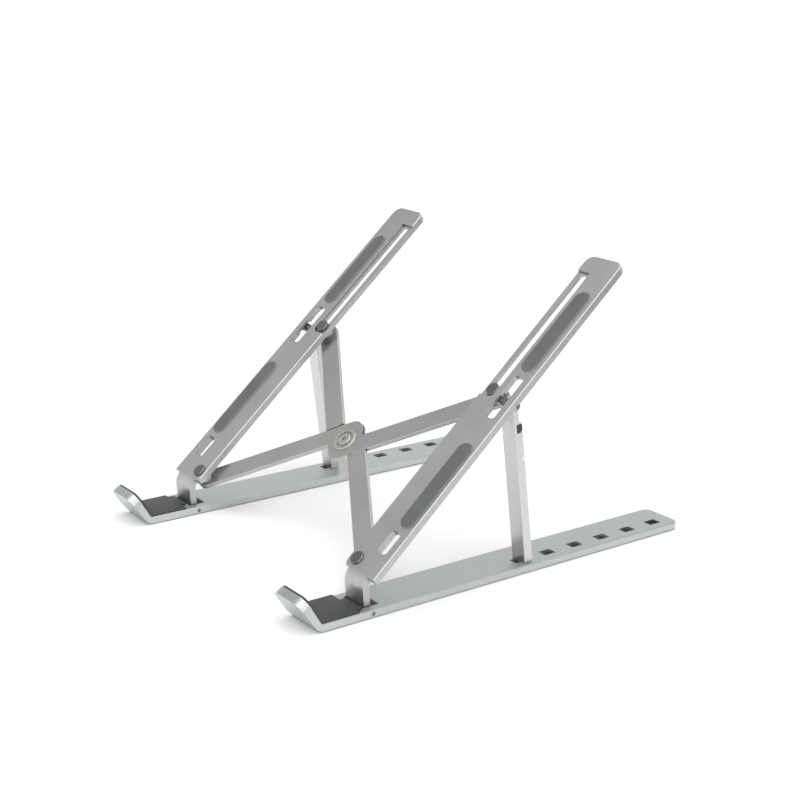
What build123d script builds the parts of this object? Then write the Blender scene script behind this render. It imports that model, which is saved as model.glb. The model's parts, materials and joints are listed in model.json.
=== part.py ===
"""Folding laptop stand: two base bars, two propped rails and a scissor of two cross arms.

Frame: X to the right, Y from the hooks to the back, Z up, in millimetres. The origin is the
middle of the stand's footprint. The right side is modelled and the left side is its mirror image.
"""
import os
from math import asin, atan, atan2, cos, degrees, hypot, radians, sin, sqrt

from build123d import *

# Whole stand
BAR_W = 22.5            # width of a base bar and of a rail
SPACING = 149.86        # between the middles of the two bars, opened out
RAIL_ANGLE = 41.82      # slope of the rails, opened out

# Base bar, with Y counted from the tilt pin
BASE_TOP = 4.0
BASE_BOTTOM = 0.5
BASE_PLATE = 1.4
BASE_WALL = 1.3
BASE_BACK = 192.7
BASE_CORNER_R = 4.0
POCKET_FRONT = -24.0
HOLE_FIRST = 90.25
HOLE_PITCH = 18.0
HOLE_COUNT = 6
HOLE_X = 4.25
HOLE_W = 5.1
HOLE_L = 7.2
HOLE_R = 0.6
CUTOUT_W = 14.6
CUTOUT_FRONT = -3.3
CUTOUT_BACK = 5.8

# Hook lip at the front of the base bar
LIP_CORNER_Y = -28.7    # where the lip's outer face meets the underside, before rounding
LIP_LEAN = 35.0         # forward lean from upright
LIP_LENGTH = 17.4
LIP_TIP_T = 4.3
LIP_LOW_T = 3.2
LIP_BEND_OUT = 6.0
LIP_BEND_IN = 2.0
LIP_CORNER_R = 5.5
BASE_EDGE = 0.35

# Rubber on the hook and under the bar
HOOK_PAD_T = 0.9
HOOK_PAD_WIDE_END = -7.0
HOOK_PAD_END = -3.8
HOOK_PAD_TAB_W = 12.5
HOOK_PAD_TAB_X = 1.6
HOOK_PAD_MARGIN = 0.35
FOOT_W = 16.0
FOOT_L = 12.0
FOOT_R = 3.0
FOOT_INSET = 5.0

# Tilt pin between rail and base bar
PIN_Z = 2.06
TILT_PIN_R = 1.0
SLEEVE_R = 1.45
KNUCKLE_R = 1.7
RUN_GAP = 0.05          # radial gap of a turning joint

# Rail, with S along it and N square to it, both counted from the tilt pin
RAIL_N = 12.36          # top face
RAIL_START = 9.9
RAIL_END = 197.7
RAIL_PLATE = 1.3
RAIL_WALL = 1.3
RAIL_DEPTH = 3.6
RAIL_TOP_R = 4.6
RAIL_LOW_R = 3.5
RAIL_EDGE = 0.35
TONGUE_W = 13.7
TONGUE_T = 3.4
TONGUE_LEAN = 6.0
TONGUE_FOOT = (-2.1, 1.9)   # a point of the tongue's front face, from the tilt pin
TONGUE_BEND = 8.0
TONGUE_WEB = 1.4
TONGUE_HOLLOW = (4.2, 10.2)     # span of the hollow in its back, from its lower end

# Rivets of the cross arms, on the inner half of each rail
RIVET_X = 6.3
LOWER_RIVET_S = 15.32
UPPER_RIVET_S = 115.12
SHANK_R = 2.0
HEAD_R = 3.3
HEAD_T = 0.85
HEAD_EDGE = 0.35
SLIDER_HEAD_T = 1.4
TAIL_R = 3.0
TAIL_T = 0.9
SPACER_R = 3.3

# Recess and long slot that the upper rivets slide in
RECESS_DEPTH = 1.3
RECESS_X = 2.9
RECESS_START = 110.6
RECESS_END = 188.0
SLOT_W = 4.2
SLOT_GAP = 0.1

# Two short windows in each rail, with drawn rims
WINDOW_X = 3.95
WINDOW_W = 6.5
WINDOW_R = 1.6
RIM_T = 1.2
LOW_WINDOW = (22.3, 34.3)
MID_WINDOW = (101.0, 125.3)
RIM_DEPTH = 3.6
MID_RIM_DEPTH = 2.6

# Grip pads on the rail
GRIP_X = 5.3
GRIP_W = 8.9
GRIP_T = 0.6
LOWER_GRIP = (37.2, 85.8)
UPPER_GRIP = (128.6, 177.2)
UPPER_GRIP_X = 3.9

# Prop leg and its hinge
LEG_PIVOT_S = 112.67
LEG_PIVOT_DEPTH = 3.8
LEG_LEAN = 9.2
LEG_X = 4.25
LEG_W = 9.2
LEG_T = 1.2
LEG_CORNER_R = 0.5
LEG_FRONT = -1.0        # front face, from the pivot
LEG_BACK = 3.6          # back edges of the flanges
EAR_R = 2.2
EAR_END = 9.6
LEG_WEB_START = 5.0
NOTCH = (9.8, 14.2)
TAB_W = 4.6
TAB_DIP = 0.75
LEG_PIN_R = 1.2
LEG_SLEEVE_R = 2.1
LUG_R = 2.4
LUG_IN = (-1.95, -0.6)
LUG_OUT = (9.0, 10.2)
STOP_SIZE = 3.6
STOP_U = 12.0
STOP_V = 2.0
CROSS_PIN_R = 1.1
CROSS_PIN_U = 27.3
CROSS_PIN_V = 3.3

# Cross arms and their hub
ARM_W = 10.2
ARM_T = 2.4
ARM_EDGE = 0.25
ARM_TOP_N = 5.8
ARM_OFFSET = 5.35       # from the hub's middle to the middle line of each half
ARM_GAP = 0.05
ARM_SIDE_GAP = 0.3
HUB_HALF_L = 9.2
HUB_R = 6.0
HUB_CLEAR_R = 11.9
LAP_GAP = 0.3
HUB_SCREW_R = 2.0
HUB_HEAD_R = 3.4
HUB_HEAD_T = 0.9
HUB_SOCKET_R = 1.15     # over the corners of the hexagon
HUB_SOCKET_DEPTH = 1.4
HUB_RING_R = 6.2
HUB_RING_BORE = 4.6
HUB_RING_T = 0.6
HUB_NUT_R = 3.4
HUB_NUT_T = 0.9

ALPHA = radians(RAIL_ANGLE)
HALF = BAR_W / 2
LIP_UP = (-sin(radians(LIP_LEAN)), cos(radians(LIP_LEAN)))
LIP_ACROSS = (cos(radians(LIP_LEAN)), sin(radians(LIP_LEAN)))
INNER_LEAN = radians(LIP_LEAN) - atan((LIP_TIP_T - LIP_LOW_T) / LIP_LENGTH)
INNER_UP = (-sin(INNER_LEAN), cos(INNER_LEAN))
INNER_ACROSS = (cos(INNER_LEAN), sin(INNER_LEAN))


def along(point, direction, distance):
    return (point[0] + direction[0] * distance, point[1] + direction[1] * distance)


LIP_OUTER_END = along((LIP_CORNER_Y, BASE_BOTTOM), LIP_UP, LIP_LENGTH)
LIP_INNER_END = along(LIP_OUTER_END, LIP_ACROSS, LIP_TIP_T)
LIP_INNER_CORNER = along(LIP_INNER_END, INNER_UP, -(LIP_INNER_END[1] - BASE_TOP) / INNER_UP[1])
FRONT_Y = LIP_OUTER_END[0]
MIDDLE_Y = (FRONT_Y + BASE_BACK) / 2

RIVET_ROOM_X = SPACING / 2 - RIVET_X
ARM_LENGTH = hypot(2 * RIVET_ROOM_X, UPPER_RIVET_S - LOWER_RIVET_S)
ARM_ANGLE = atan2(UPPER_RIVET_S - LOWER_RIVET_S, 2 * RIVET_ROOM_X)
HUB_S = (LOWER_RIVET_S + UPPER_RIVET_S) / 2
CLOSED_RIVET_S = LOWER_RIVET_S + sqrt(ARM_LENGTH ** 2 - (2 * ARM_OFFSET) ** 2)
SLOT_START = UPPER_RIVET_S - SLOT_W / 2
SLOT_END = CLOSED_RIVET_S + SLOT_W / 2 + SLOT_GAP
ARM_BOTTOM_N = ARM_TOP_N - ARM_T
LAP_T = (ARM_T - LAP_GAP) / 2
PLATE_UNDER_N = RAIL_N - RAIL_PLATE
FLOOR_N = RAIL_N - RECESS_DEPTH
LEG_PIVOT_N = RAIL_N - LEG_PIVOT_DEPTH


def box(x0, x1, y0, y1, z0, z1):
    centre = Pos((x0 + x1) / 2, (y0 + y1) / 2, (z0 + z1) / 2)
    return centre * Box(x1 - x0, y1 - y0, z1 - z0)


def rod(radius, x0, x1, y=0.0, z=0.0):
    """A round bar along X."""
    return Pos((x0 + x1) / 2, y, z) * Rot(0, 90, 0) * Cylinder(radius, x1 - x0)


def disc(radius, z0, z1, x=0.0, y=0.0):
    return Pos(x, y, (z0 + z1) / 2) * Cylinder(radius, z1 - z0)


def stadium(width, y0, y1, z0, z1, x=0.0):
    """A bar with fully rounded ends, lying along Y."""
    plan = Pos(x, (y0 + y1) / 2) * SlotOverall(y1 - y0, width, rotation=90)
    return Pos(0, 0, z0) * extrude(plan, z1 - z0)


def rounded(width, y0, y1, z0, z1, radius, x=0.0):
    plan = Pos(x, (y0 + y1) / 2) * RectangleRounded(width, y1 - y0, radius)
    return Pos(0, 0, z0) * extrude(plan, z1 - z0)


def side_profile(points, width, x=0.0):
    """Extrude a closed YZ outline along X, about x."""
    wire = Polyline(*[(0, y, z) for y, z in points], close=True)
    return Pos(x, 0, 0) * extrude(make_face(wire), width / 2, dir=(1, 0, 0), both=True)


def edges_along_x(shape, y, z):
    """The edges parallel to X that pass nearest to a YZ point."""
    lines = shape.edges().filter_by(Axis.X)
    nearest = min(hypot(e.center().Y - y, e.center().Z - z) for e in lines)
    return [e for e in lines if hypot(e.center().Y - y, e.center().Z - z) < nearest + 0.01]


def on_rail(shape):
    """Turn a shape from the rail's own X, S, N frame to the tilt pin's place."""
    return Rot(RAIL_ANGLE, 0, 0) * shape


def on_leg(shape):
    """Turn a shape from the leg's X, back, up frame, hung at the pivot, to its place."""
    pivot_y = LEG_PIVOT_S * cos(ALPHA) - LEG_PIVOT_N * sin(ALPHA)
    pivot_z = LEG_PIVOT_S * sin(ALPHA) + LEG_PIVOT_N * cos(ALPHA)
    return Pos(0, pivot_y, pivot_z) * Rot(LEG_LEAN, 0, 0) * shape


def place(shape):
    """Move a right-hand shape from the tilt pin's frame to the stand's."""
    return Pos(SPACING / 2, -MIDDLE_Y, PIN_Z) * shape


# ---- Base bar -------------------------------------------------------------------------------

def base_bar():
    top, bottom = BASE_TOP - PIN_Z, BASE_BOTTOM - PIN_Z
    lip = [(y, z - PIN_Z) for y, z in (LIP_OUTER_END, LIP_INNER_END, LIP_INNER_CORNER)]
    outline = [(LIP_CORNER_Y, bottom), *lip, (BASE_BACK, top), (BASE_BACK, bottom)]
    bar = side_profile(outline, BAR_W)
    bar = fillet(edges_along_x(bar, LIP_CORNER_Y, bottom), LIP_BEND_OUT)
    bar = fillet(edges_along_x(bar, *lip[2]), LIP_BEND_IN)
    tip = [e for e in bar.edges() if abs(e.length - LIP_TIP_T) < 0.01 and e.center().Y < LIP_CORNER_Y]
    bar = fillet(tip, LIP_CORNER_R)
    bar = fillet(bar.edges().filter_by(Axis.Z).group_by(Axis.Y)[-1], BASE_CORNER_R)
    rims = [e for e in bar.edges().filter_by(Axis.Y) if abs(e.center().Z - top) < 0.01]
    bar = chamfer(rims, BASE_EDGE)
    inner_w = BAR_W - 2 * BASE_WALL
    ceiling = top - BASE_PLATE
    bar -= rounded(inner_w, POCKET_FRONT, BASE_BACK - BASE_WALL, bottom - 1, ceiling,
                   BASE_CORNER_R - BASE_WALL)
    for index in range(HOLE_COUNT):
        middle = HOLE_FIRST + HOLE_PITCH * index
        bar -= rounded(HOLE_W, middle - HOLE_L / 2, middle + HOLE_L / 2, ceiling - 1, top + 1,
                       HOLE_R, HOLE_X)
    bar -= rounded(CUTOUT_W, CUTOUT_FRONT, CUTOUT_BACK, ceiling - 1, top + 1, HOLE_R)
    bar -= rod(TILT_PIN_R, -HALF - 1, HALF + 1)
    bar -= rod(SLEEVE_R, -HALF + BASE_WALL, HALF - BASE_WALL)
    return bar


def hook_pad():
    top = BASE_TOP - PIN_Z
    width = BAR_W - 2 * HOOK_PAD_MARGIN
    inner_end, corner = [(y, z - PIN_Z) for y, z in (LIP_INNER_END, LIP_INNER_CORNER)]
    inner_end = along(inner_end, INNER_UP, -HOOK_PAD_MARGIN)
    skin_end = along(inner_end, INNER_ACROSS, HOOK_PAD_T)
    skin_corner = along(skin_end, INNER_UP, -(skin_end[1] - top - HOOK_PAD_T) / INNER_UP[1])
    pad = side_profile([inner_end, skin_end, skin_corner, (HOOK_PAD_END, top + HOOK_PAD_T),
                        (HOOK_PAD_END, top), corner], width)
    pad = fillet(edges_along_x(pad, *corner), LIP_BEND_IN)
    pad = fillet(edges_along_x(pad, *skin_corner), LIP_BEND_IN - HOOK_PAD_T)
    left, right = HOOK_PAD_TAB_X - HOOK_PAD_TAB_W / 2, HOOK_PAD_TAB_X + HOOK_PAD_TAB_W / 2
    pad -= box(-HALF, left, HOOK_PAD_WIDE_END, 0, top - 1, top + 2)
    pad -= box(right, HALF, HOOK_PAD_WIDE_END, 0, top - 1, top + 2)
    short = [e for e in pad.edges() if abs(e.length - HOOK_PAD_T) < 0.01]
    tip = [e for e in short if e.center().Y < LIP_CORNER_Y]
    return fillet(tip, LIP_CORNER_R - HOOK_PAD_MARGIN)


def foot(start):
    ceiling = BASE_TOP - BASE_PLATE
    pad = rounded(FOOT_W, start, start + FOOT_L, 0, ceiling, FOOT_R)
    return Pos(0, 0, -PIN_Z) * chamfer(pad.edges().group_by(Axis.Z)[0], 0.3)


def tilt_sleeves():
    start, end = TONGUE_W / 2 + RUN_GAP, HALF - BASE_WALL
    right = rod(SLEEVE_R, start, end) - rod(TILT_PIN_R, start, end)
    return right + mirror(right, about=Plane.YZ)


# ---- Rail -----------------------------------------------------------------------------------

def tongue():
    """The strip that bends down from the rail's lower end to the tilt pin."""
    slope = (cos(ALPHA), sin(ALPHA))
    normal = (-sin(ALPHA), cos(ALPHA))
    upright = (-sin(radians(TONGUE_LEAN)), cos(radians(TONGUE_LEAN)))
    turn = RAIL_ANGLE - 90 - TONGUE_LEAN
    start = along(along((0, 0), normal, RAIL_N), slope, RAIL_START + TONGUE_BEND)
    # where the front face's line crosses the rail's top face
    gap_y, gap_z = start[0] - TONGUE_FOOT[0], start[1] - TONGUE_FOOT[1]
    reach = (gap_y * slope[1] - gap_z * slope[0]) / (upright[0] * slope[1] - upright[1] * slope[0])
    corner = along(TONGUE_FOOT, upright, reach)
    end = along(corner, upright, -reach - abs(TONGUE_FOOT[1]))
    inward_rail = (sin(ALPHA), -cos(ALPHA))
    inward_up = (cos(radians(TONGUE_LEAN)), sin(radians(TONGUE_LEAN)))
    back_start = along(start, inward_rail, TONGUE_T)
    back_end = along(end, inward_up, TONGUE_T)
    shift = TONGUE_T * sin(radians(-turn) / 2) / cos(radians(-turn) / 2)
    back_corner = along(along(corner, slope, shift), inward_rail, TONGUE_T)
    strip = side_profile([start, corner, end, back_end, back_corner, back_start], TONGUE_W)
    strip = fillet(edges_along_x(strip, *corner), TONGUE_BEND)
    strip = fillet(edges_along_x(strip, *back_corner), TONGUE_BEND - TONGUE_T)
    web_back = along(end, inward_up, TONGUE_WEB)
    low, high = [along(web_back, upright, distance) for distance in TONGUE_HOLLOW]
    hollow = [low, high, along(high, inward_up, TONGUE_T), along(low, inward_up, TONGUE_T)]
    strip -= side_profile(hollow, TONGUE_W - 2 * TONGUE_WEB)
    strip += rod(KNUCKLE_R, -TONGUE_W / 2, TONGUE_W / 2)
    strip -= rod(TILT_PIN_R + RUN_GAP, -HALF, HALF)
    return strip


def rail_shell():
    """The rail's plate with its down-turned edge, in the rail's frame."""
    low = RAIL_N - RAIL_DEPTH
    body = box(-HALF, HALF, RAIL_START, RAIL_END, low, RAIL_N)
    uprights = body.edges().filter_by(Axis.Z)
    body = fillet(uprights.group_by(Axis.Y)[-1], RAIL_TOP_R)
    inner_low = body.edges().filter_by(Axis.Z).group_by(Axis.Y)[0].sort_by(Axis.X)[0]
    body = fillet(inner_low, RAIL_LOW_R)
    body = chamfer(body.faces().sort_by(Axis.Z)[-1].edges(), RAIL_EDGE)
    body -= rounded(BAR_W - 2 * RAIL_WALL, RAIL_START + RAIL_WALL, RAIL_END - RAIL_WALL,
                    low - 1, PLATE_UNDER_N, RAIL_TOP_R - RAIL_WALL)
    return body


def recess(body):
    """Step the inner part of the plate down, with the long slot in its floor."""
    floor_under = FLOOR_N - RAIL_PLATE
    inside = RAIL_WALL
    body += box(-HALF + 0.5, -RECESS_X + inside, RECESS_START - inside, RECESS_END + inside,
                floor_under, PLATE_UNDER_N)
    cut = box(-HALF - 1, -RECESS_X, RECESS_START, RECESS_END, FLOOR_N, RAIL_N + 1)
    low_corner = cut.edges().filter_by(Axis.Z).group_by(Axis.Y)[0].sort_by(Axis.X)[-1]
    body -= fillet(low_corner, HEAD_R)
    body -= stadium(SLOT_W, SLOT_START, SLOT_END, floor_under - 1, RAIL_N + 1, -RIVET_X)
    return body


def window(body, span, rim_depth):
    start, end = span
    rim_low = RAIL_N - rim_depth
    body += rounded(WINDOW_W + 2 * RIM_T, start - RIM_T, end + RIM_T, rim_low, PLATE_UNDER_N,
                    WINDOW_R + RIM_T, WINDOW_X)
    return body


def leg_lug(x0, x1):
    lug = rod(LUG_R, x0, x1, LEG_PIVOT_S, LEG_PIVOT_N)
    root = box(x0, x1, LEG_PIVOT_S - LUG_R, LEG_PIVOT_S + LUG_R, LEG_PIVOT_N, PLATE_UNDER_N)
    return lug + root


def rail():
    body = recess(rail_shell())
    body = window(body, LOW_WINDOW, RIM_DEPTH)
    body = window(body, MID_WINDOW, MID_RIM_DEPTH)
    reach = hypot(EAR_R, LEG_WEB_START)
    body -= box(LUG_IN[1], LUG_OUT[0], LEG_PIVOT_S - reach, LEG_PIVOT_S + EAR_R + 1,
                RAIL_N - RAIL_DEPTH - 1, PLATE_UNDER_N)
    body += leg_lug(*LUG_IN)
    body += leg_lug(*LUG_OUT)
    for start, end in (LOW_WINDOW, MID_WINDOW):
        body -= rounded(WINDOW_W, start, end, RAIL_N - 2 * RAIL_DEPTH, RAIL_N + 1, WINDOW_R, WINDOW_X)
    body -= rod(LEG_PIN_R, LUG_IN[0] - 1, HALF + 1, LEG_PIVOT_S, LEG_PIVOT_N)
    body = on_rail(body) + tongue()
    body -= on_rail(disc(SHANK_R, ARM_BOTTOM_N, RAIL_N + 1, -RIVET_X, LOWER_RIVET_S))
    body -= on_rail(disc(SPACER_R, ARM_BOTTOM_N, PLATE_UNDER_N, -RIVET_X, LOWER_RIVET_S))
    return body


def grip(span, x):
    pad = stadium(GRIP_W, span[0], span[1], RAIL_N, RAIL_N + GRIP_T, x)
    return on_rail(fillet(pad.edges().group_by(Axis.Z)[-1], GRIP_T / 2))


def rivet(station, head_low, head_t, tail_top):
    head = disc(HEAD_R, head_low, head_low + head_t)
    head = chamfer(head.edges().group_by(Axis.Z)[-1], HEAD_EDGE)
    shank = disc(SHANK_R, tail_top - TAIL_T, head_low + 0.1)
    tail = disc(TAIL_R, tail_top - TAIL_T, tail_top)
    tail = fillet(tail.edges().group_by(Axis.Z)[0], 0.3)
    return on_rail(Pos(-RIVET_X, station, 0) * (head + shank + tail))


def spacer(station, low, high):
    ring = disc(SPACER_R, low, high) - disc(SHANK_R, low, high)
    return on_rail(Pos(-RIVET_X, station, 0) * ring)


# ---- Leg ------------------------------------------------------------------------------------

def foot_reach():
    """Length of the leg from its pivot to the base bar's top."""
    pivot_z = LEG_PIVOT_S * sin(ALPHA) + LEG_PIVOT_N * cos(ALPHA)
    lean = radians(LEG_LEAN)
    return (pivot_z + PIN_Z + LEG_FRONT * sin(lean) - BASE_TOP - RUN_GAP) / cos(lean)


def leg():
    reach = foot_reach()
    left, right = LEG_X - LEG_W / 2, LEG_X + LEG_W / 2
    channel = box(left, right, LEG_FRONT, LEG_BACK, -reach, -EAR_END)
    channel -= box(left + LEG_T, right - LEG_T, LEG_FRONT + LEG_T, LEG_BACK + 1, -reach - 1, 0)
    web = box(left, right, LEG_FRONT, LEG_FRONT + LEG_T, -EAR_END, -LEG_WEB_START)
    ears = box(left, right, LEG_FRONT, EAR_R - 0.3, -EAR_END, 0) + rod(EAR_R, left, right)
    ears -= box(left + LEG_T, right - LEG_T, -EAR_R - 1, EAR_R + 1, -EAR_END - 1, EAR_R + 1)
    body = channel + web + ears
    corners = [e for e in body.edges().filter_by(Axis.Z) if abs(e.center().Y - LEG_FRONT) < 0.01]
    body = fillet([e for e in corners if abs(abs(e.center().X - LEG_X) - LEG_W / 2) < 0.01], LEG_CORNER_R)
    body -= box(right - LEG_T - 0.5, right + 1, LEG_FRONT + LEG_T, LEG_BACK + 1, -NOTCH[1], -NOTCH[0])
    body += box(LEG_X - TAB_W / 2, LEG_X + TAB_W / 2, LEG_FRONT, LEG_FRONT + LEG_T,
                -reach - TAB_DIP - RUN_GAP, -reach + 1)
    body -= rod(CROSS_PIN_R, left - 1, right + 1, CROSS_PIN_V, -CROSS_PIN_U)
    body -= rod(LEG_PIN_R + RUN_GAP, left - 1, right + 1)
    return on_leg(body)


def leg_sleeve():
    left, right = LEG_X - LEG_W / 2 + LEG_T, LEG_X + LEG_W / 2 - LEG_T
    return on_leg(rod(LEG_SLEEVE_R, left, right) - rod(LEG_PIN_R + RUN_GAP, left, right))


def leg_stop():
    left = LEG_X - LEG_W / 2 + LEG_T
    right = LEG_X + LEG_W / 2 - 0.3
    half = STOP_SIZE / 2
    bar = box(left, right, STOP_V - half, STOP_V + half, -STOP_U - half, -STOP_U + half)
    return on_leg(fillet(bar.edges().filter_by(Axis.X), 0.4))


def leg_cross_pin():
    left, right = LEG_X - LEG_W / 2, LEG_X + LEG_W / 2
    return on_leg(rod(CROSS_PIN_R, left, right, CROSS_PIN_V, -CROSS_PIN_U))


# ---- Cross arms, drawn in the rails' plane about the hub --------------------------------------

def on_hub(shape):
    return Pos(0, -MIDDLE_Y, PIN_Z) * on_rail(Pos(0, HUB_S, 0) * shape)


def arm_halves(width, edge=0.0):
    """The two straight halves, in the hub's frame, for the arm that runs up to the right."""
    half_length = ARM_LENGTH / 2
    skew = asin(ARM_OFFSET / half_length)
    reach = half_length * cos(skew)
    plan = Pos(-reach / 2, ARM_OFFSET) * SlotCenterToCenter(reach, width)
    half = Pos(0, 0, ARM_BOTTOM_N) * extrude(plan, ARM_T)
    if edge:
        half = chamfer(half.faces().filter_by(Axis.Z).edges(), edge)
    return Rot(0, 0, degrees(ARM_ANGLE + skew)) * (half + Rot(0, 0, 180) * half)


def arm(layer_low, hub_bore):
    """One arm. Its halves lie either side of the line of pivots, so the pair closes side by side."""
    halves = arm_halves(ARM_W, ARM_EDGE)
    crossing = mirror(arm_halves(ARM_W + 2 * ARM_SIDE_GAP), about=Plane.YZ)
    lap = disc(HUB_CLEAR_R, ARM_BOTTOM_N, ARM_TOP_N) + crossing
    layer = disc(2 * HUB_CLEAR_R, layer_low, layer_low + LAP_T)
    skew = degrees(asin(2 * ARM_OFFSET / ARM_LENGTH))
    block = RectangleRounded(2 * HUB_HALF_L, 2 * ARM_OFFSET + ARM_W, HUB_R)
    block = Rot(0, 0, degrees(ARM_ANGLE) + skew) * extrude(block, LAP_T)
    body = (halves - lap) + (halves & lap & layer) + Pos(0, 0, layer_low) * block
    pivot_x, pivot_y = RIVET_ROOM_X, HUB_S - LOWER_RIVET_S
    body -= disc(SHANK_R + RUN_GAP, 0, RAIL_N, -pivot_x, -pivot_y)
    body -= disc(SHANK_R, 0, RAIL_N, pivot_x, pivot_y)
    return body - disc(hub_bore, 0, RAIL_N)


def parts_of_side():
    """Every right-hand node that has a mirror image on the left, by name."""
    return {
        "base_bar": base_bar(),
        "hook_pad": hook_pad(),
        "front_foot": foot(POCKET_FRONT + FOOT_INSET),
        "rear_foot": foot(BASE_BACK - BASE_WALL - FOOT_INSET - FOOT_L),
        "tilt_pin": rod(TILT_PIN_R, -HALF + 0.2, HALF - 0.2),
        "tilt_sleeves": tilt_sleeves(),
        "rail": rail(),
        "lower_grip": grip(LOWER_GRIP, GRIP_X),
        "upper_grip": grip(UPPER_GRIP, UPPER_GRIP_X),
        "lower_rivet": rivet(LOWER_RIVET_S, RAIL_N, HEAD_T, ARM_BOTTOM_N - ARM_GAP),
        "lower_spacer": spacer(LOWER_RIVET_S, ARM_TOP_N + ARM_GAP, PLATE_UNDER_N),
        "upper_rivet": rivet(UPPER_RIVET_S, FLOOR_N + ARM_GAP, SLIDER_HEAD_T, ARM_BOTTOM_N),
        "upper_spacer": spacer(UPPER_RIVET_S, ARM_TOP_N, FLOOR_N - RAIL_PLATE - ARM_GAP),
        "leg": leg(),
        "leg_pin": on_rail(rod(LEG_PIN_R, LUG_IN[0], HALF - 0.05, LEG_PIVOT_S, LEG_PIVOT_N)),
        "leg_sleeve": leg_sleeve(),
        "leg_stop": leg_stop(),
        "leg_cross_pin": leg_cross_pin(),
    }


def hub_parts():
    lower_layer = ARM_BOTTOM_N
    upper_layer = ARM_TOP_N - LAP_T
    nut_low = lower_layer - ARM_GAP - HUB_NUT_T
    screw = disc(HUB_HEAD_R, ARM_TOP_N, ARM_TOP_N + HUB_HEAD_T)
    screw = fillet(screw.edges().group_by(Axis.Z)[-1], 0.3)
    screw += disc(HUB_SCREW_R, nut_low, ARM_TOP_N + 0.1)
    socket_low = ARM_TOP_N + HUB_HEAD_T - HUB_SOCKET_DEPTH
    screw -= Pos(0, 0, socket_low) * extrude(RegularPolygon(HUB_SOCKET_R, 6), HUB_SOCKET_DEPTH)
    ring = disc(HUB_RING_R, ARM_TOP_N, ARM_TOP_N + HUB_RING_T)
    ring = fillet(ring.edges().group_by(Axis.Z)[-1], 0.25)
    ring -= disc(HUB_RING_BORE, ARM_TOP_N - 1, ARM_TOP_N + 2)
    nut = Pos(0, 0, nut_low) * extrude(RegularPolygon(HUB_NUT_R, 6), HUB_NUT_T)
    nut -= disc(HUB_SCREW_R, 0, ARM_TOP_N)
    washer = disc(HUB_RING_R, lower_layer + LAP_T + ARM_GAP, upper_layer)
    washer -= disc(HUB_SCREW_R, 0, ARM_TOP_N)
    return {
        "top_cross_arm": arm(upper_layer, HUB_SCREW_R),
        "bottom_cross_arm": mirror(arm(lower_layer, HUB_SCREW_R + RUN_GAP), about=Plane.YZ),
        "hub_screw": screw,
        "hub_ring": ring,
        "hub_washer": washer,
        "hub_nut": nut,
    }


def main():
    os.makedirs("parts", exist_ok=True)
    for name, shape in parts_of_side().items():
        right = place(shape)
        export_step(right, f"parts/right_{name}.step")
        export_step(mirror(right, about=Plane.YZ), f"parts/left_{name}.step")
    for name, shape in hub_parts().items():
        export_step(on_hub(shape), f"parts/{name}.step")
    print("arm pivots", round(ARM_LENGTH, 3), "arm angle from rail", round(90 - degrees(ARM_ANGLE), 3))
    print("middle y", round(MIDDLE_Y, 3), "leg reach", round(foot_reach(), 3))


main()
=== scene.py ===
"""Looks for the folding laptop stand: satin aluminium, rubber pads, gunmetal rivets, studio light."""
import json
from math import atan2, cos, pi, radians, sin

import bmesh
import bpy
from mathutils import Matrix, Vector


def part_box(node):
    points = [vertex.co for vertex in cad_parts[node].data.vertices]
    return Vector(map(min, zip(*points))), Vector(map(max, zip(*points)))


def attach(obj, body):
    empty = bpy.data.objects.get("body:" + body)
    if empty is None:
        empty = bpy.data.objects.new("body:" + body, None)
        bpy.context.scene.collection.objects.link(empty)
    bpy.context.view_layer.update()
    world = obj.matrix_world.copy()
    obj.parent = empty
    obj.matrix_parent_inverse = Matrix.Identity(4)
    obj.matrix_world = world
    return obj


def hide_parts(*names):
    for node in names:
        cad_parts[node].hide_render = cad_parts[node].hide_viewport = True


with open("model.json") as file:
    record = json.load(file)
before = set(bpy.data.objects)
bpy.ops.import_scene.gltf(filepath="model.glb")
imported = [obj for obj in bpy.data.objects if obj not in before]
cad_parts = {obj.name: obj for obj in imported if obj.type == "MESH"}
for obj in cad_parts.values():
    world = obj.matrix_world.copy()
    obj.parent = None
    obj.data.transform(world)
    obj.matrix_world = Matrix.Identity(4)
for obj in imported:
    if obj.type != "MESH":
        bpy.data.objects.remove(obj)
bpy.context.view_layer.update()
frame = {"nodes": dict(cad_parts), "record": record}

MM = 0.001
NODES = frame["nodes"]
MOUNTS = {mount["name"]: mount for mount in frame["record"]["mounts"]}

# The rails' slope, from the direction that their grips face
FACING = MOUNTS["right_upper_grip_face"]["axis"]
SLOPE = atan2(-FACING[1], FACING[2])


# ---- Shader helpers ---------------------------------------------------------------------------

NOISE_RANGE = (0.3, 0.7)            # where nearly all of a noise's values lie
EDGE_LEAN = (0.98, 0.80)            # cosine of a rounded normal's lean, off an edge and on it
RIM_LEAN = (0.97, 0.5)              # the same from a pad's top to its rim
HOLLOW_RANGE = (0.35, 0.9)          # how open a spot is, in a crevice and out of it


def grey(level):
    return (level, level, level, 1.0)


def shade(colour, factor):
    """A colour made lighter or darker, with its alpha."""
    return (*(min(1.0, channel * factor) for channel in colour), 1.0)


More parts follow.
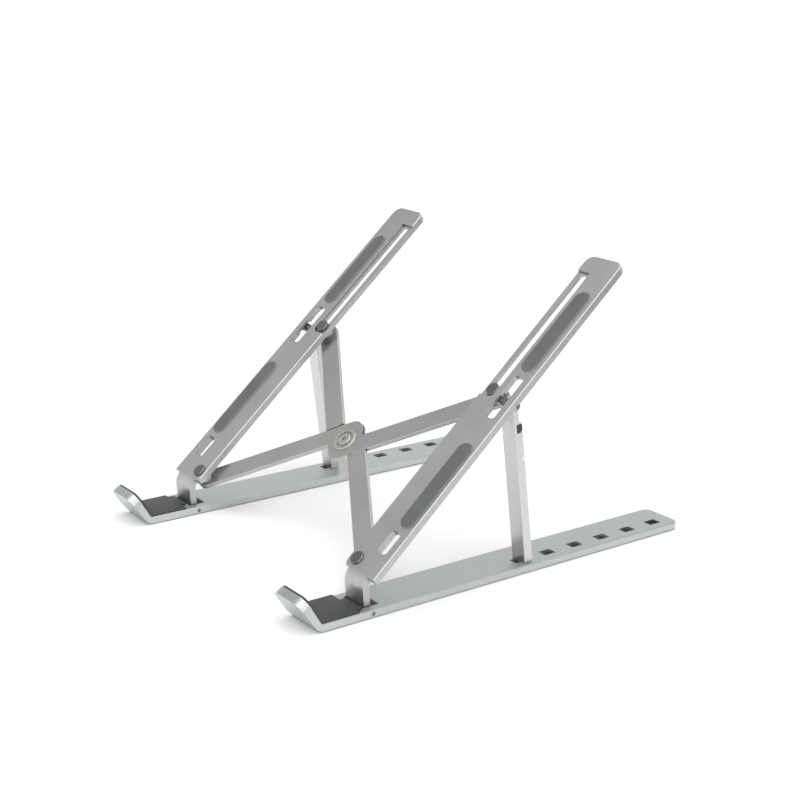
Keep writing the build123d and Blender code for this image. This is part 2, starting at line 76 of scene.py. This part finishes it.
class Shader:
    """A material's node tree, built one node at a time."""

    def __init__(self, name):
        self.material = bpy.data.materials.new(name)
        self.material.use_nodes = True
        self.nodes = self.material.node_tree.nodes
        self.links = self.material.node_tree.links
        self.surface = self.nodes["Principled BSDF"]
        self.coords = self.node("ShaderNodeTexCoord").outputs["Object"]

    def node(self, kind, **settings):
        made = self.nodes.new(kind)
        for key, value in settings.items():
            setattr(made, key, value)
        return made

    def plug(self, value, socket):
        if isinstance(value, bpy.types.NodeSocket):
            self.links.new(value, socket)
        else:
            socket.default_value = value

    def mapped(self, turn=(0, 0, 0), scale=(1, 1, 1)):
        """Object coordinates, turned so that Y runs along a bar, then scaled."""
        turned = self.node("ShaderNodeMapping", vector_type="TEXTURE")
        turned.inputs["Rotation"].default_value = turn
        self.links.new(self.coords, turned.inputs["Vector"])
        scaled = self.node("ShaderNodeMapping")
        scaled.inputs["Scale"].default_value = scale
        self.links.new(turned.outputs["Vector"], scaled.inputs["Vector"])
        return scaled.outputs["Vector"]

    def noise(self, vector, scale=1.0, detail=2.0, roughness=0.5):
        """Soft noise, with its scale in features per metre."""
        made = self.node("ShaderNodeTexNoise")
        self.links.new(vector, made.inputs["Vector"])
        made.inputs["Scale"].default_value = scale
        made.inputs["Detail"].default_value = detail
        made.inputs["Roughness"].default_value = roughness
        return made.outputs["Fac"]

    def span(self, value, low, high, to_low=0.0, to_high=1.0):
        """A value between low and high, carried to the range from to_low to to_high."""
        made = self.node("ShaderNodeMapRange")
        self.plug(value, made.inputs["Value"])
        made.inputs["From Min"].default_value = low
        made.inputs["From Max"].default_value = high
        made.inputs["To Min"].default_value = to_low
        made.inputs["To Max"].default_value = to_high
        return made.outputs["Result"]

    def math(self, operation, first, second=0.0):
        made = self.node("ShaderNodeMath", operation=operation)
        self.plug(first, made.inputs[0])
        self.plug(second, made.inputs[1])
        return made.outputs["Value"]

    def mix(self, factor, first, second, blend="MIX"):
        made = self.node("ShaderNodeMix", data_type="RGBA", blend_type=blend)
        self.plug(factor, made.inputs["Factor"])
        self.plug(first, made.inputs["A"])
        self.plug(second, made.inputs["B"])
        return made.outputs["Result"]

    def dot(self, first, second):
        made = self.node("ShaderNodeVectorMath", operation="DOT_PRODUCT")
        self.plug(first, made.inputs[0])
        self.plug(second, made.inputs[1])
        return made.outputs["Value"]

    def edges(self, radius):
        """1 on outer edges and 0 elsewhere, from how far a rounded normal leans."""
        bevel = self.node("ShaderNodeBevel", samples=6)
        bevel.inputs["Radius"].default_value = radius
        plain = self.node("ShaderNodeNewGeometry").outputs["Normal"]
        return self.span(self.dot(bevel.outputs["Normal"], plain), *EDGE_LEAN)

    def crevice(self, tone, distance, darkest):
        """A tone darkened where another surface stands close by: painted shade in crevices and under
        parts.
        """
        hollow = self.node("ShaderNodeAmbientOcclusion", samples=6)
        hollow.inputs["Distance"].default_value = distance
        painted_shade = self.span(hollow.outputs["AO"], *HOLLOW_RANGE, darkest, 1.0)
        return self.mix(1.0, tone, painted_shade, "MULTIPLY")

    def bump(self, height, strength, distance):
        made = self.node("ShaderNodeBump")
        made.inputs["Strength"].default_value = strength
        made.inputs["Distance"].default_value = distance
        self.links.new(height, made.inputs["Height"])
        return made.outputs["Normal"]


# ---- Materials --------------------------------------------------------------------------------

# Features per metre of each pattern
METAL_CLOUD = 34.0
METAL_SPECK = 1500.0
METAL_BRUSH = (5200, 70, 5200)
RUBBER_PATCH = 60.0
RUBBER_PEBBLE = 2400.0
RUBBER_SKIN = 5200.0
PLASTIC_CLOUD = 90.0
PLASTIC_GRAIN = 3200.0

# How wide an edge painted lighter is (wear and painted highlight on metal, painted highlight on rubber
# and plastic), how near another surface has to be to paint shade on one, and how high bumps are
METAL_EDGE, METAL_GAP, METAL_BUMP = 0.35 * MM, 1.2 * MM, 0.02 * MM
RUBBER_EDGE, RUBBER_GAP, RUBBER_BUMP = 0.45 * MM, 0.8 * MM, 0.03 * MM
PLASTIC_EDGE, PLASTIC_GAP, PLASTIC_BUMP = 0.2 * MM, 1.0 * MM, 0.02 * MM


def metal(name, colour, rough, turn=(0, 0, 0), streak=0.0, grain=1.0, wear_and_highlight=1.25):
    """Satin metal: blasted or brushed grain, cloudy tone, edges lighter from wear and from a painted
    highlight, painted shade in crevices.
    """
    s = Shader(name)
    base = s.surface
    base.inputs["Metallic"].default_value = 1.0
    along = s.mapped(turn)
    cloud = s.noise(along, METAL_CLOUD, 3.0)
    speck = s.noise(along, METAL_SPECK, 3.0, 0.7)
    brush = s.noise(s.mapped(turn, METAL_BRUSH), 1.0, 3.0, 0.6)

    tone = s.mix(s.span(cloud, *NOISE_RANGE), shade(colour, 0.955), shade(colour, 1.03))
    tone = s.mix(s.span(speck, 0.38, 0.62, 0.0, 0.6 * grain), tone, shade(colour, 0.60))
    tone = s.mix(s.span(brush, *NOISE_RANGE, 0.0, streak), tone, shade(colour, 0.72))
    # Edges made lighter: partly wear, partly a painted highlight; the same mask makes them less rough
    # below
    edge = s.math("MULTIPLY", s.edges(METAL_EDGE), s.span(cloud, 0.25, 0.75, 0.35, 1.0))
    tone = s.mix(edge, tone, shade(colour, wear_and_highlight))
    # Painted shade where another surface stands close by
    s.plug(s.crevice(tone, METAL_GAP, 0.45), base.inputs["Base Color"])

    cloudy_rough = s.span(cloud, *NOISE_RANGE, rough - 0.03, rough + 0.03)
    grainy_rough = s.math("ADD", cloudy_rough, s.span(speck, *NOISE_RANGE, -0.05, 0.05))
    polished = s.math("MULTIPLY", edge, 0.12)
    s.plug(s.math("SUBTRACT", grainy_rough, polished), base.inputs["Roughness"])

    height = s.math("ADD", s.math("MULTIPLY", speck, grain), s.math("MULTIPLY", brush, 2.0 * streak))
    s.plug(s.bump(height, 0.35, METAL_BUMP), base.inputs["Normal"])
    return s.material


def rubber(name, colour, rough, turn=(0, 0, 0), facing=None):
    """Matt moulded rubber: pebbled skin, dusty patches, edges painted lighter as a highlight, painted
    shade in crevices.

    facing is the way that a flat pad's top faces, so that its rounded rim is painted lighter, as a
    highlight.
    """
    s = Shader(name)
    base = s.surface
    base.inputs["Specular IOR Level"].default_value = 0.45
    along = s.mapped(turn)
    patch = s.noise(along, RUBBER_PATCH, 4.0)
    voronoi = s.node("ShaderNodeTexVoronoi")
    s.links.new(along, voronoi.inputs["Vector"])
    voronoi.inputs["Scale"].default_value = RUBBER_PEBBLE
    pebble = voronoi.outputs["Distance"]
    skin = s.noise(along, RUBBER_SKIN, 2.0)

    tone = s.mix(s.span(patch, *NOISE_RANGE), shade(colour, 0.86), shade(colour, 1.14))
    tone = s.mix(s.span(pebble, 0.0, 0.8, 0.25, 0.0), tone, shade(colour, 0.65))
    # Painted highlight: edges made lighter
    tone = s.mix(s.math("MULTIPLY", s.edges(RUBBER_EDGE), 0.8), tone, shade(colour, 2.4))
    # Painted highlight: the pad's rounded rim, leaning off its top, is made lighter
    if facing is not None:
        own_normal = s.node("ShaderNodeTexCoord").outputs["Normal"]
        rim = s.span(s.dot(own_normal, facing), *RIM_LEAN)
        tone = s.mix(s.math("MULTIPLY", rim, 0.8), tone, shade(colour, 2.6))
    # Painted shade where another surface stands close by
    s.plug(s.crevice(tone, RUBBER_GAP, 0.25), base.inputs["Base Color"])
    s.plug(s.span(patch, *NOISE_RANGE, rough - 0.06, rough + 0.06), base.inputs["Roughness"])

    height = s.math("ADD", s.math("MULTIPLY", pebble, 0.5), s.math("MULTIPLY", skin, 0.5))
    s.plug(s.bump(height, 0.4, RUBBER_BUMP), base.inputs["Normal"])
    return s.material


def plastic(name, colour, rough):
    """Moulded plastic with a light spark-eroded grain."""
    s = Shader(name)
    base = s.surface
    cloud = s.noise(s.mapped(), PLASTIC_CLOUD, 3.0)
    grain = s.noise(s.mapped(), PLASTIC_GRAIN, 2.0)
    tone = s.mix(s.span(cloud, *NOISE_RANGE), shade(colour, 0.88), shade(colour, 1.1))
    # Painted highlight: edges made lighter
    tone = s.mix(s.math("MULTIPLY", s.edges(PLASTIC_EDGE), 0.5), tone, shade(colour, 1.5))
    # Painted shade where another surface stands close by
    s.plug(s.crevice(tone, PLASTIC_GAP, 0.4), base.inputs["Base Color"])
    s.plug(s.span(grain, *NOISE_RANGE, rough - 0.07, rough + 0.07), base.inputs["Roughness"])
    s.plug(s.bump(grain, 0.3, PLASTIC_BUMP), base.inputs["Normal"])
    return s.material


RAIL_TURN = (SLOPE, 0, 0)
MATERIALS = {
    "anodised_base": metal("satin_base", (0.57, 0.59, 0.59), 0.38, grain=0.5),
    "anodised_rail": metal("satin_rail", (0.55, 0.55, 0.54), 0.40, RAIL_TURN, grain=0.7),
    "anodised_leg": metal("satin_leg", (0.70, 0.70, 0.70), 0.36, streak=0.3, grain=0.4),
    "anodised_arm": metal("satin_arm", (0.50, 0.50, 0.49), 0.40, RAIL_TURN, grain=0.5),
    "rivet_steel": metal("gunmetal", (0.20, 0.20, 0.205), 0.36, RAIL_TURN, grain=0.5, wear_and_highlight=1.9),
    "dark_steel": metal("black_oxide", (0.21, 0.21, 0.215), 0.38, grain=0.5, wear_and_highlight=2.0),
    "bright_steel": metal("plated_steel", (0.80, 0.80, 0.77), 0.17, RAIL_TURN, grain=0.3, wear_and_highlight=1.3),
    "hook_rubber": rubber("charcoal_rubber", (0.043, 0.043, 0.045), 0.52),
    "grip_rubber": rubber("grey_rubber", (0.105, 0.11, 0.11), 0.58, RAIL_TURN, facing=FACING),
    "foot_rubber": rubber("black_rubber", (0.022, 0.022, 0.023), 0.6),
    "nylon": plastic("grey_nylon", (0.40, 0.40, 0.39), 0.45),
    "black_plastic": plastic("black_nylon", (0.03, 0.03, 0.03), 0.4),
}
SLOT_OF = {part["node"]: part["material_slot"] for part in frame["record"]["subparts"]}
for node_name, node in NODES.items():
    node.data.materials.clear()
    node.data.materials.append(MATERIALS[SLOT_OF[node_name]])


# ---- Rubber pads ------------------------------------------------------------------------------

SAME_POINT = 0.001 * MM
NEARLY_FLAT = radians(1)
SHARP_ANGLE = radians(50)
CORNER_STEPS = 10
GRIP_T = 0.6 * MM
GRIP_RIM = 0.5 * MM
GRIP_RIM_STEPS = 5
GRIP_CROWN = 0.06 * MM
GRIP_RINGS = ((0.12, 1), (0.2, 1 / 3), (0.4, 0))    # shares: of its width in, of its crown down
HOOK_RIM = 0.35 * MM
HOOK_RIM_STEPS = 4
FOOT_CORNER = 3.0 * MM
FOOT_EDGE = ((0, 0.35 * MM), (0.12 * MM, 0.1 * MM), (0.35 * MM, 0))     # inset and height
FOOT_LIP = 1.5 * MM
FOOT_WALL = 0.2 * MM
FOOT_DISH = 0.45 * MM


def box_on_slope(node_name):
    """A node's lowest and highest corners, in the frame of the rails' slope."""
    back = Matrix.Rotation(-SLOPE, 3, "X")
    corners = [back @ vertex.co for vertex in NODES[node_name].data.vertices]
    low = Vector([min(corner[axis] for corner in corners) for axis in range(3)])
    high = Vector([max(corner[axis] for corner in corners) for axis in range(3)])
    return low, high


def rounded_outline(width, length, radius, inset):
    """A rounded rectangle about the origin, drawn in by an inset with its corner centres kept."""
    points = []
    across, along = width / 2 - radius, length / 2 - radius
    reach = radius - inset
    for corner, (sx, sy) in enumerate(((1, 1), (-1, 1), (-1, -1), (1, -1))):
        for step in range(CORNER_STEPS + 1):
            angle = (corner + step / CORNER_STEPS) * pi / 2
            points.append((sx * across + reach * cos(angle), sy * along + reach * sin(angle)))
    return points


def layered_form(width, length, radius, layers):
    """A closed form through rings of a rounded rectangle, each layer an inset and a height."""
    form = bmesh.new()
    rings = []
    for inset, height in layers:
        outline = rounded_outline(width, length, radius, inset)
        rings.append([form.verts.new((x, y, height)) for x, y in outline])
    for lower, upper in zip(rings, rings[1:]):
        for index, vertex in enumerate(lower):
            after = (index + 1) % len(lower)
            form.faces.new((vertex, lower[after], upper[after], upper[index]))
    form.faces.new(list(reversed(rings[0])))
    form.faces.new(rings[-1])
    bmesh.ops.remove_doubles(form, verts=form.verts, dist=SAME_POINT)
    bmesh.ops.recalc_face_normals(form, faces=form.faces)
    return form


def moulding(form, place, node_name, body):
    """Make a form a piece with its node's finish, riding on a body, that stands for the node."""
    mesh = bpy.data.meshes.new(f"{node_name}_moulding")
    form.to_mesh(mesh)
    form.free()
    mesh.transform(place)
    for polygon in mesh.polygons:
        polygon.use_smooth = True
    mesh.set_sharp_from_angle(angle=SHARP_ANGLE)
    mesh.materials.clear()
    mesh.materials.append(MATERIALS[SLOT_OF[node_name]])
    piece = bpy.data.objects.new(mesh.name, mesh)
    bpy.context.scene.collection.objects.link(piece)
    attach(piece, body)
    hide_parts(node_name)


def grip_pad(node_name, body):
    """A stadium pad with a rounded rim, crowned slightly to its middle."""
    low, high = box_on_slope(node_name)
    middle = (low + high) / 2
    width, length = high.x - low.x, high.y - low.y
    rim_top = GRIP_T - GRIP_CROWN
    layers = [(0, 0), (0, rim_top - GRIP_RIM)]
    for step in range(1, GRIP_RIM_STEPS + 1):
        angle = step / GRIP_RIM_STEPS * pi / 2
        layers.append((GRIP_RIM * (1 - cos(angle)), rim_top - GRIP_RIM * (1 - sin(angle))))
    for inset, drop in GRIP_RINGS:
        layers.append((width * inset, GRIP_T - GRIP_CROWN * drop))
    form = layered_form(width, length, width / 2, layers)
    seat = Matrix.Translation((middle.x, middle.y, low.z))
    moulding(form, Matrix.Rotation(SLOPE, 4, "X") @ seat, node_name, body)


def foot_pad(node_name, body):
    """A foot that stands on a rounded lip, with a dished middle."""
    low, high = (Vector(corner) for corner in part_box(node_name))
    middle = (low + high) / 2
    width, length, height = high - low
    layers = [(0, height), *FOOT_EDGE, (FOOT_LIP, 0)]
    layers += [(FOOT_LIP + FOOT_WALL, FOOT_DISH), (0.9 * FOOT_CORNER, FOOT_DISH)]
    form = layered_form(width, length, FOOT_CORNER, layers)
    moulding(form, Matrix.Translation((middle.x, middle.y, low.z)), node_name, body)


def hook_pad(node_name, body):
    """The bent pad on a hook, with its rims rounded over."""
    form = bmesh.new()
    form.from_mesh(NODES[node_name].data)
    bmesh.ops.remove_doubles(form, verts=form.verts, dist=2 * SAME_POINT)
    bmesh.ops.dissolve_limit(form, angle_limit=NEARLY_FLAT, verts=form.verts, edges=form.edges)
    folds = [edge for edge in form.edges if len(edge.link_faces) == 2]
    rims = [edge for edge in folds if edge.calc_face_angle() > SHARP_ANGLE]
    bmesh.ops.bevel(form, geom=rims, offset=HOOK_RIM, segments=HOOK_RIM_STEPS, profile=0.5,
                    affect="EDGES", clamp_overlap=True)
    moulding(form, Matrix.Identity(4), node_name, body)


for side in ("left", "right"):
    hook_pad(f"{side}_hook_pad", f"{side}_base")
    for end in ("front", "rear"):
        foot_pad(f"{side}_{end}_foot", f"{side}_base")
    for level in ("lower", "upper"):
        grip_pad(f"{side}_{level}_grip", f"{side}_rail")


# ---- Floor, light and camera ------------------------------------------------------------------

FLOOR_R = 0.5
FLOOR_SIDES = 96
FLOOR_DROP = 0.02 * MM
PAPER = (0.93, 0.95)                # its darker and its lighter patches
PAPER_CLOUD = 3.0
SKY = ((0.30, 0.635), (0.60, 0.25), (0.76, 0.40), (0.92, 0.95))     # how high up, how bright
SKY_STRENGTH = 1.7
DOORWAY = (0.757, 0.587, -0.12)
DOORWAY_SPREAD = (0.84, 0.96)       # cosine of the angle from its middle, at its rim and inside
DOORWAY_LEVEL = 0.22
KEY_FROM = (0.62, -0.35, 0.70)
KEY_SPREAD = radians(80)
KEY_STRENGTH = 1.3
CAMERA_PLACE = (0.57633, -0.36921, 0.28488)     # in metres, with Y counted from the tilt pins
CAMERA_YAW = radians(52.206)
CAMERA_PITCH = radians(-16.799)
CAMERA_ROLL = radians(1.722)
CAMERA_LENS = 69.174
CAMERA_SENSOR = 36


def studio_floor():
    """A round sheet of white paper. Past its edge the studio is as white as the paper."""
    bpy.ops.mesh.primitive_circle_add(vertices=FLOOR_SIDES, radius=FLOOR_R, fill_type="NGON",
                                      location=(0, 0, -FLOOR_DROP))
    floor = bpy.context.object
    floor.name = "floor"
    s = Shader("paper_white")
    cloud = s.span(s.noise(s.mapped(), PAPER_CLOUD, 3.0), *NOISE_RANGE)
    s.plug(s.mix(cloud, *(grey(level) for level in PAPER)), s.surface.inputs["Base Color"])
    s.surface.inputs["Roughness"].default_value = 0.9
    s.surface.inputs["Specular IOR Level"].default_value = 0.0
    floor.data.materials.append(s.material)


def soft_sky():
    """White at eye level, grey above, bright overhead, and a dimmer doorway at the right-hand back."""
    world = bpy.data.worlds.new("studio")
    bpy.context.scene.world = world
    world.use_nodes = True
    nodes, links = world.node_tree.nodes, world.node_tree.links
    background = nodes["Background"]
    looking = nodes.new("ShaderNodeTexCoord").outputs["Generated"]

    split = nodes.new("ShaderNodeSeparateXYZ")
    ramp = nodes.new("ShaderNodeValToRGB")
    links.new(looking, split.inputs["Vector"])
    links.new(split.outputs["Z"], ramp.inputs["Fac"])
    stops = ramp.color_ramp.elements
    for _ in SKY[2:]:
        stops.new(1.0)
    for stop, (height, level) in zip(stops, SKY):
        stop.position = height
        stop.color = grey(level)

    facing = nodes.new("ShaderNodeVectorMath")
    facing.operation = "DOT_PRODUCT"
    facing.inputs[1].default_value = Vector(DOORWAY).normalized()
    links.new(looking, facing.inputs[0])
    door = nodes.new("ShaderNodeMapRange")
    door.interpolation_type = "SMOOTHSTEP"
    door.inputs["From Min"].default_value, door.inputs["From Max"].default_value = DOORWAY_SPREAD
    links.new(facing.outputs["Value"], door.inputs["Value"])

    mix = nodes.new("ShaderNodeMix")
    mix.data_type = "RGBA"
    links.new(door.outputs["Result"], mix.inputs["Factor"])
    links.new(ramp.outputs["Color"], mix.inputs["A"])
    mix.inputs["B"].default_value = grey(DOORWAY_LEVEL)
    links.new(mix.outputs["Result"], background.inputs["Color"])
    background.inputs["Strength"].default_value = SKY_STRENGTH


def soft_lamp(name, direction, spread, strength):
    """A broad, even light from far away, so that the paper is lit alike to its edge."""
    lamp = bpy.data.lights.new(name, "SUN")
    lamp.angle = spread
    lamp.energy = strength
    holder = bpy.data.objects.new(name, lamp)
    bpy.context.scene.collection.objects.link(holder)
    holder.rotation_mode = "QUATERNION"
    holder.rotation_quaternion = Vector(direction).normalized().to_track_quat("Z", "Y")


def camera():
    """The photograph's viewing angle: turned, tipped down, then rolled about its own line of sight."""
    data = bpy.data.cameras.new("camera")
    data.lens = CAMERA_LENS
    data.sensor_width = CAMERA_SENSOR
    data.clip_start, data.clip_end = 0.01, 100
    view = bpy.data.objects.new("camera", data)
    bpy.context.scene.collection.objects.link(view)

    ahead = Vector((-sin(CAMERA_YAW), cos(CAMERA_YAW), 0))
    forward = cos(CAMERA_PITCH) * ahead + sin(CAMERA_PITCH) * Vector((0, 0, 1))
    level = Vector((cos(CAMERA_YAW), sin(CAMERA_YAW), 0))
    upright = level.cross(forward)
    right = cos(CAMERA_ROLL) * level + sin(CAMERA_ROLL) * upright
    up = cos(CAMERA_ROLL) * upright - sin(CAMERA_ROLL) * level

    pin_low, pin_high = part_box("right_tilt_pin")
    place = Vector(CAMERA_PLACE) + Vector((0, (pin_low[1] + pin_high[1]) / 2, 0))
    view.matrix_world = Matrix((
        (right.x, up.x, -forward.x, place.x),
        (right.y, up.y, -forward.y, place.y),
        (right.z, up.z, -forward.z, place.z),
        (0, 0, 0, 1),
    ))
    bpy.context.scene.camera = view


studio_floor()
soft_sky()
soft_lamp("key", KEY_FROM, KEY_SPREAD, KEY_STRENGTH)
camera()
bpy.context.scene.view_settings.view_transform = "Standard"
